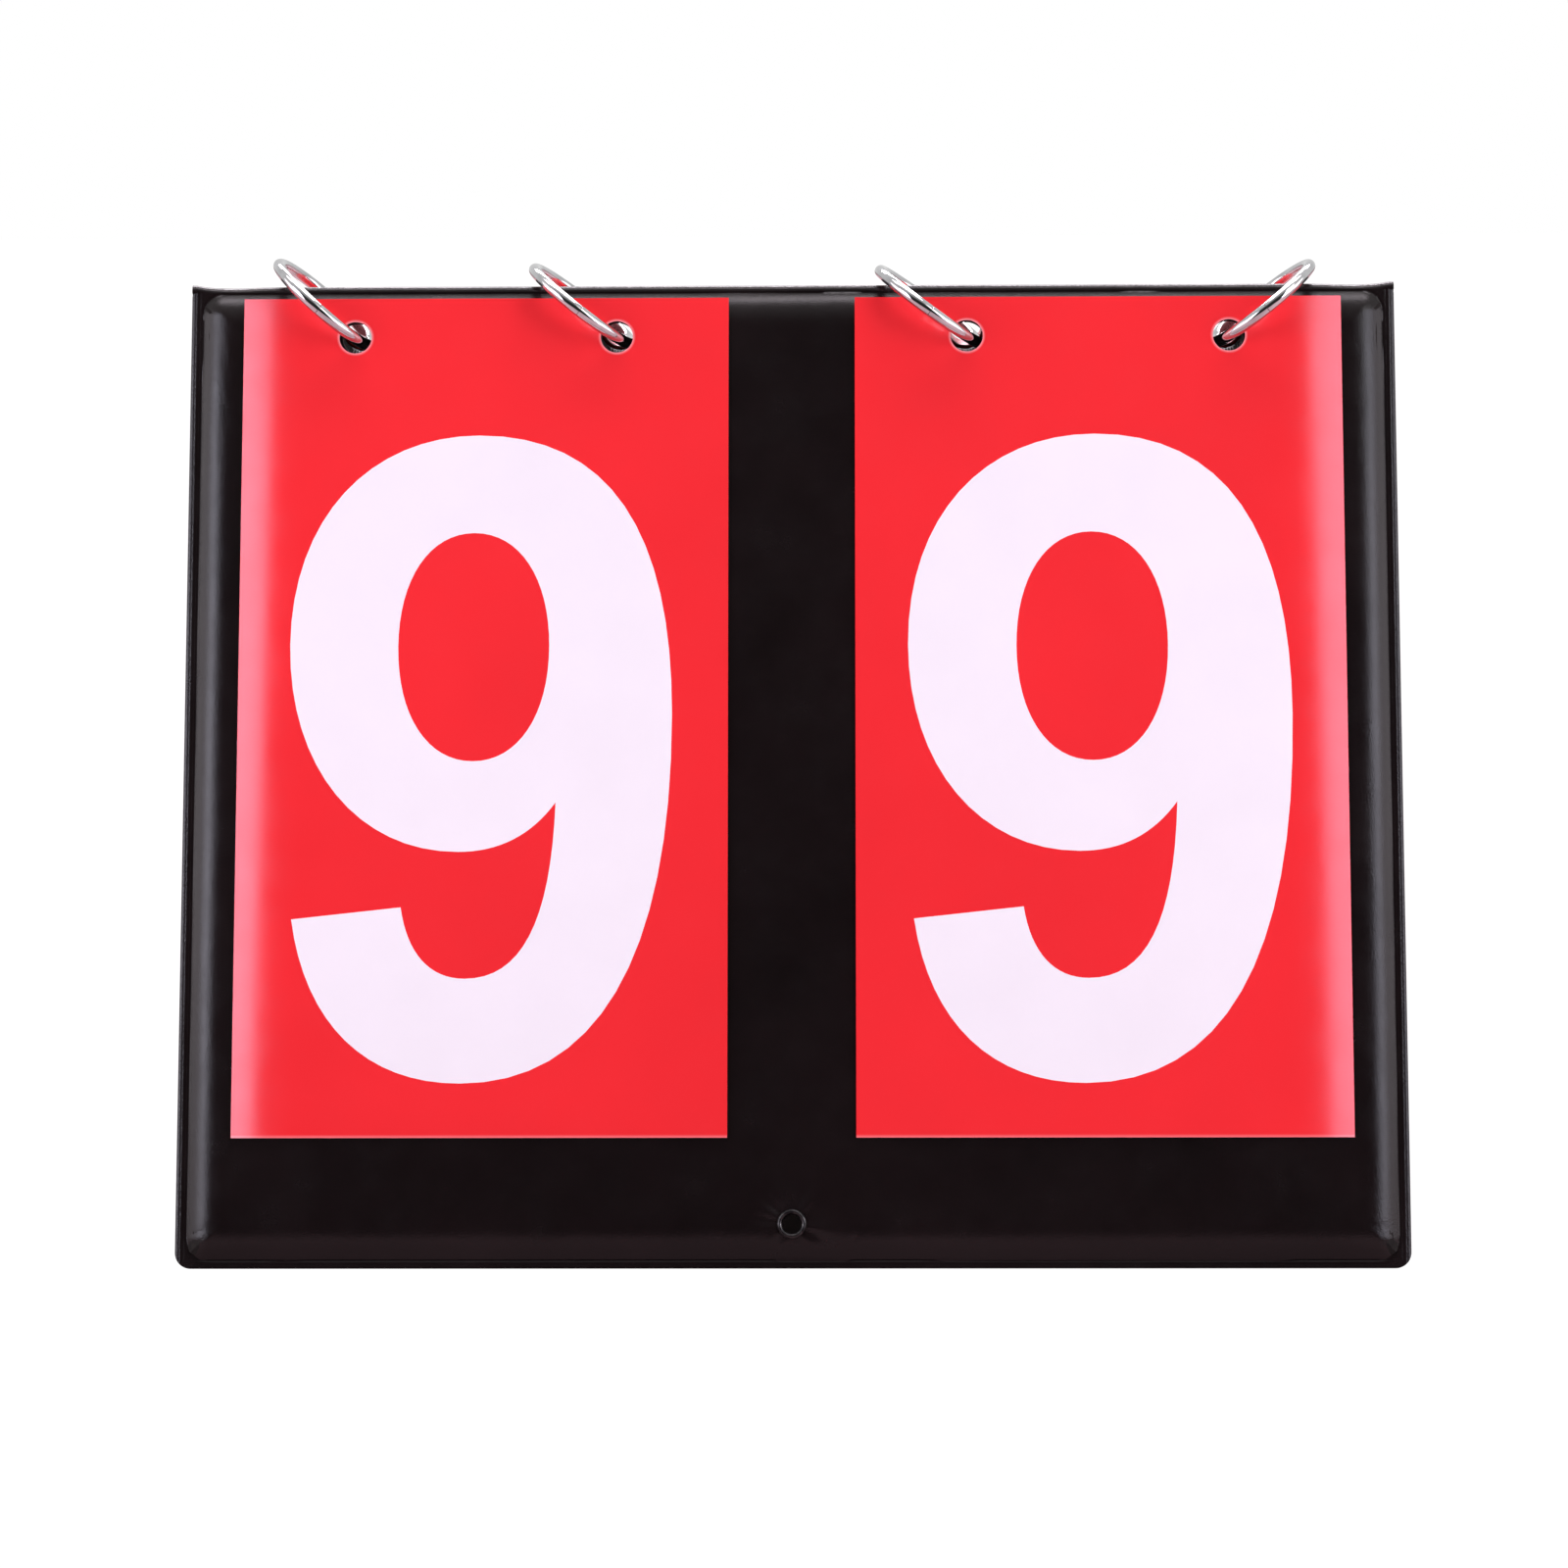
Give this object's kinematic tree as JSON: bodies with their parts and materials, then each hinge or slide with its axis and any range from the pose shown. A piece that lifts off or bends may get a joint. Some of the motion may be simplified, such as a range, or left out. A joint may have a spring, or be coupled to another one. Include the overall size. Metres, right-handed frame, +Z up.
{
  "type": "tabletop flip scoreboard",
  "caption": "Folding A-frame scoreboard: two padded panels and two sets of number cards turning on split rings.",
  "frame": {"origin": "on the table, under the middle of the standing tent", "axes": "+X along the fold to the viewer's right, -Y out of the front panel, +Z up"},
  "size_m": [0.225, 0.1166, 0.1794],
  "materials": {
    "leather": "fine grain, semi-gloss PVC",
    "card": "glossy sheet",
    "greyboard": "matte pressed paper board",
    "chrome": "bright plated wire",
    "gunmetal": "blackened, worn bright on the rim"
  },
  "bodies": {
    "front_panel": {"front_cover": "leather", "front_lining": "leather", "front_board": "greyboard", "front_eyelet": "gunmetal", "spine_cover": "leather"},
    "back_panel": {"back_cover": "leather", "back_lining": "leather", "back_board": "greyboard", "back_eyelet": "gunmetal"},
    "left_card_0": {"left_card_0": "card"},
    "left_card_1": {"left_card_1": "card"},
    "left_card_2": {"left_card_2": "card"},
    "left_card_3": {"left_card_3": "card"},
    "left_card_4": {"left_card_4": "card"},
    "left_card_5": {"left_card_5": "card"},
    "left_card_6": {"left_card_6": "card"},
    "left_card_7": {"left_card_7": "card"},
    "left_card_8": {"left_card_8": "card"},
    "left_card_9": {"left_card_9": "card"},
    "right_card_0": {"right_card_0": "card"},
    "right_card_1": {"right_card_1": "card"},
    "right_card_2": {"right_card_2": "card"},
    "right_card_3": {"right_card_3": "card"},
    "right_card_4": {"right_card_4": "card"},
    "right_card_5": {"right_card_5": "card"},
    "right_card_6": {"right_card_6": "card"},
    "right_card_7": {"right_card_7": "card"},
    "right_card_8": {"right_card_8": "card"},
    "right_card_9": {"right_card_9": "card"},
    "ring_1": {"ring_1_lower_half": "chrome", "ring_1_hinge_pin": "chrome"},
    "ring_1_top": {"ring_1_upper_half": "chrome"},
    "ring_2": {"ring_2_lower_half": "chrome", "ring_2_hinge_pin": "chrome"},
    "ring_2_top": {"ring_2_upper_half": "chrome"},
    "ring_3": {"ring_3_lower_half": "chrome", "ring_3_hinge_pin": "chrome"},
    "ring_3_top": {"ring_3_upper_half": "chrome"},
    "ring_4": {"ring_4_lower_half": "chrome", "ring_4_hinge_pin": "chrome"},
    "ring_4_top": {"ring_4_upper_half": "chrome"}
  },
  "joints": [
    {"name": "fold", "type": "hinge", "parent": "front_panel", "child": "back_panel", "pos_m": [0, 0, 0.17268], "axis": [1, 0, 0], "range_deg": [-35, 0], "deforming": ["spine_cover"]},
    {"name": "left_card_9_turn", "type": "hinge", "parent": "front_panel", "child": "left_card_9", "pos_m": [0, 0, 0.1897], "axis": [-1, 0, 0], "range_deg": [0, 324], "deforming": ["left_card_9"]},
    {"name": "left_card_0_turn", "type": "hinge", "parent": "back_panel", "child": "left_card_0", "pos_m": [0, 0, 0.1897], "axis": [1, 0, 0], "range_deg": [0, 324], "deforming": ["left_card_0"]},
    {"name": "left_card_1_turn", "type": "hinge", "parent": "left_card_0", "child": "left_card_1", "pos_m": [0, 0, 0.1897], "axis": [1, 0, 0], "range_deg": [0, 324], "deforming": ["left_card_1"]},
    {"name": "left_card_2_turn", "type": "hinge", "parent": "left_card_1", "child": "left_card_2", "pos_m": [0, 0, 0.1897], "axis": [1, 0, 0], "range_deg": [0, 324], "deforming": ["left_card_2"]},
    {"name": "left_card_3_turn", "type": "hinge", "parent": "left_card_2", "child": "left_card_3", "pos_m": [0, 0, 0.1897], "axis": [1, 0, 0], "range_deg": [0, 324], "deforming": ["left_card_3"]},
    {"name": "left_card_4_turn", "type": "hinge", "parent": "left_card_3", "child": "left_card_4", "pos_m": [0, 0, 0.1897], "axis": [1, 0, 0], "range_deg": [0, 324], "deforming": ["left_card_4"]},
    {"name": "left_card_5_turn", "type": "hinge", "parent": "left_card_4", "child": "left_card_5", "pos_m": [0, 0, 0.1897], "axis": [1, 0, 0], "range_deg": [0, 324], "deforming": ["left_card_5"]},
    {"name": "left_card_6_turn", "type": "hinge", "parent": "left_card_5", "child": "left_card_6", "pos_m": [0, 0, 0.1897], "axis": [1, 0, 0], "range_deg": [0, 324], "deforming": ["left_card_6"]},
    {"name": "left_card_7_turn", "type": "hinge", "parent": "left_card_6", "child": "left_card_7", "pos_m": [0, 0, 0.1897], "axis": [1, 0, 0], "range_deg": [0, 324], "deforming": ["left_card_7"]},
    {"name": "left_card_8_turn", "type": "hinge", "parent": "left_card_7", "child": "left_card_8", "pos_m": [0, 0, 0.1897], "axis": [1, 0, 0], "range_deg": [0, 324], "deforming": ["left_card_8"]},
    {"name": "right_card_9_turn", "type": "hinge", "parent": "front_panel", "child": "right_card_9", "pos_m": [0, 0, 0.1897], "axis": [-1, 0, 0], "range_deg": [0, 324], "deforming": ["right_card_9"]},
    {"name": "right_card_0_turn", "type": "hinge", "parent": "back_panel", "child": "right_card_0", "pos_m": [0, 0, 0.1897], "axis": [1, 0, 0], "range_deg": [0, 324], "deforming": ["right_card_0"]},
    {"name": "right_card_1_turn", "type": "hinge", "parent": "right_card_0", "child": "right_card_1", "pos_m": [0, 0, 0.1897], "axis": [1, 0, 0], "range_deg": [0, 324], "deforming": ["right_card_1"]},
    {"name": "right_card_2_turn", "type": "hinge", "parent": "right_card_1", "child": "right_card_2", "pos_m": [0, 0, 0.1897], "axis": [1, 0, 0], "range_deg": [0, 324], "deforming": ["right_card_2"]},
    {"name": "right_card_3_turn", "type": "hinge", "parent": "right_card_2", "child": "right_card_3", "pos_m": [0, 0, 0.1897], "axis": [1, 0, 0], "range_deg": [0, 324], "deforming": ["right_card_3"]},
    {"name": "right_card_4_turn", "type": "hinge", "parent": "right_card_3", "child": "right_card_4", "pos_m": [0, 0, 0.1897], "axis": [1, 0, 0], "range_deg": [0, 324], "deforming": ["right_card_4"]},
    {"name": "right_card_5_turn", "type": "hinge", "parent": "right_card_4", "child": "right_card_5", "pos_m": [0, 0, 0.1897], "axis": [1, 0, 0], "range_deg": [0, 324], "deforming": ["right_card_5"]},
    {"name": "right_card_6_turn", "type": "hinge", "parent": "right_card_5", "child": "right_card_6", "pos_m": [0, 0, 0.1897], "axis": [1, 0, 0], "range_deg": [0, 324], "deforming": ["right_card_6"]},
    {"name": "right_card_7_turn", "type": "hinge", "parent": "right_card_6", "child": "right_card_7", "pos_m": [0, 0, 0.1897], "axis": [1, 0, 0], "range_deg": [0, 324], "deforming": ["right_card_7"]},
    {"name": "right_card_8_turn", "type": "hinge", "parent": "right_card_7", "child": "right_card_8", "pos_m": [0, 0, 0.1897], "axis": [1, 0, 0], "range_deg": [0, 324], "deforming": ["right_card_8"]},
    {"name": "ring_1_follow", "type": "hinge", "parent": "front_panel", "child": "ring_1", "pos_m": [0, 0, 0.17268], "axis": [1, 0, 0], "range_deg": [-17.5, 0]},
    {"name": "ring_1_open", "type": "hinge", "parent": "ring_1", "child": "ring_1_top", "pos_m": [-0.08769, 0.0113, 0.17074], "axis": [-0.6691, 0, -0.7431], "range_deg": [0, 60]},
    {"name": "ring_2_follow", "type": "hinge", "parent": "front_panel", "child": "ring_2", "pos_m": [0, 0, 0.17268], "axis": [1, 0, 0], "range_deg": [-17.5, 0]},
    {"name": "ring_2_open", "type": "hinge", "parent": "ring_2", "child": "ring_2_top", "pos_m": [-0.03927, 0.0113, 0.17029], "axis": [-0.6157, 0, -0.788], "range_deg": [0, 60]},
    {"name": "ring_3_follow", "type": "hinge", "parent": "front_panel", "child": "ring_3", "pos_m": [0, 0, 0.17268], "axis": [1, 0, 0], "range_deg": [-17.5, 0]},
    {"name": "ring_3_open", "type": "hinge", "parent": "ring_3", "child": "ring_3_top", "pos_m": [0.02575, 0.0113, 0.17006], "axis": [-0.5878, 0, -0.809], "range_deg": [0, 60]},
    {"name": "ring_4_follow", "type": "hinge", "parent": "front_panel", "child": "ring_4", "pos_m": [0, 0, 0.17268], "axis": [1, 0, 0], "range_deg": [-17.5, 0]},
    {"name": "ring_4_open", "type": "hinge", "parent": "ring_4", "child": "ring_4_top", "pos_m": [0.08798, 0.0113, 0.17041], "axis": [-0.6293, 0, 0.7771], "range_deg": [0, 60]}
  ],
  "couplings": [
    {"joint": "ring_1_follow", "follows": "fold", "ratio": 0.5},
    {"joint": "ring_2_follow", "follows": "fold", "ratio": 0.5},
    {"joint": "ring_3_follow", "follows": "fold", "ratio": 0.5},
    {"joint": "ring_4_follow", "follows": "fold", "ratio": 0.5}
  ]
}
